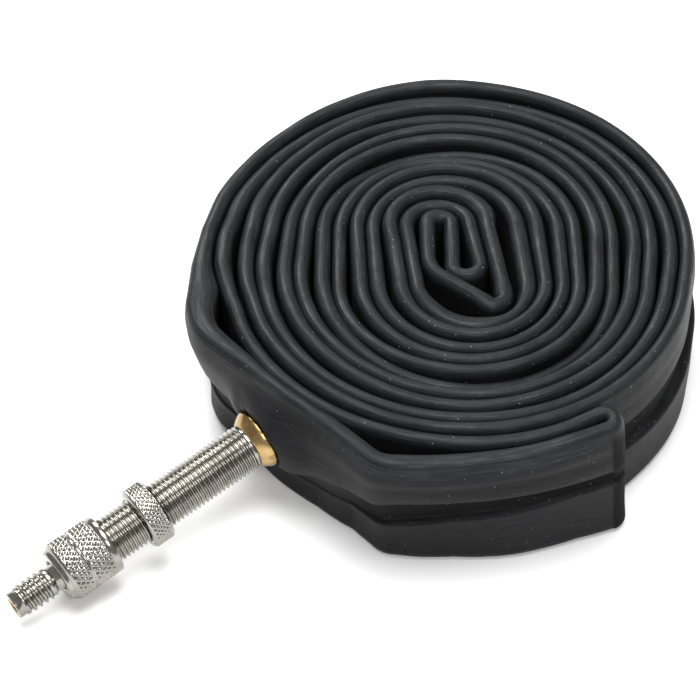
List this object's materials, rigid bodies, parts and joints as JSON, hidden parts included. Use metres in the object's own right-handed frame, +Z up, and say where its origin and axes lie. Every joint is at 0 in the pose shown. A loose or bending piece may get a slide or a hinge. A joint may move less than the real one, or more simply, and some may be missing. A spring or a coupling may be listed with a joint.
{
  "type": "bicycle inner tube",
  "caption": "Rolled-up bicycle inner tube: flattened butyl ring in a flat coil, with a threaded English-type valve, rim nut, union nut and removable core.",
  "frame": {"origin": "on the table, in the middle of the coil, inside the roll's first leg", "axes": "+Z up, along the coil's axis and the tube's lay-flat width; the valve points towards -X and -Y"},
  "size_m": [0.1089, 0.099, 0.026],
  "materials": {
    "butyl_rubber": "satin black butyl with a little talc",
    "seal_rubber": "smooth black nitrile",
    "bare_brass": "turned, slightly dulled",
    "nickel_plate": "nickel-plated, warm grey"
  },
  "bodies": {
    "tube": {"inner_tube": "butyl_rubber", "base_pad": "butyl_rubber", "stem_collar": "bare_brass", "valve_stem": "nickel_plate"},
    "rim_nut": {"rim_nut": "nickel_plate"},
    "core": {"core_body": "nickel_plate", "core_seal": "seal_rubber", "core_cage": "bare_brass"},
    "union_nut": {"union_nut": "nickel_plate"},
    "ball": {"core_ball": "seal_rubber"}
  },
  "joints": [
    {"name": "rim_nut_travel", "type": "slide", "parent": "tube", "child": "rim_nut", "axis": [-0.8002, -0.5686, -0.1908], "range_m": [-0.017, 0.0056]},
    {"name": "core_lift", "type": "slide", "parent": "tube", "child": "core", "axis": [-0.8002, -0.5686, -0.1908], "range_m": [0, 0.00397]},
    {"name": "union_nut_turn", "type": "hinge", "parent": "core", "child": "union_nut", "pos_m": [-0.03067, -0.02716, 0.013], "axis": [-0.8002, -0.5686, -0.1908], "range_deg": [0, 1800]},
    {"name": "ball_drop", "type": "slide", "parent": "core", "child": "ball", "axis": [0.8002, 0.5686, 0.1908], "range_m": [0, 0.0008]}
  ],
  "couplings": [
    {"joint": "union_nut_turn", "follows": "core_lift", "rad_per_m": 7915.7}
  ]
}
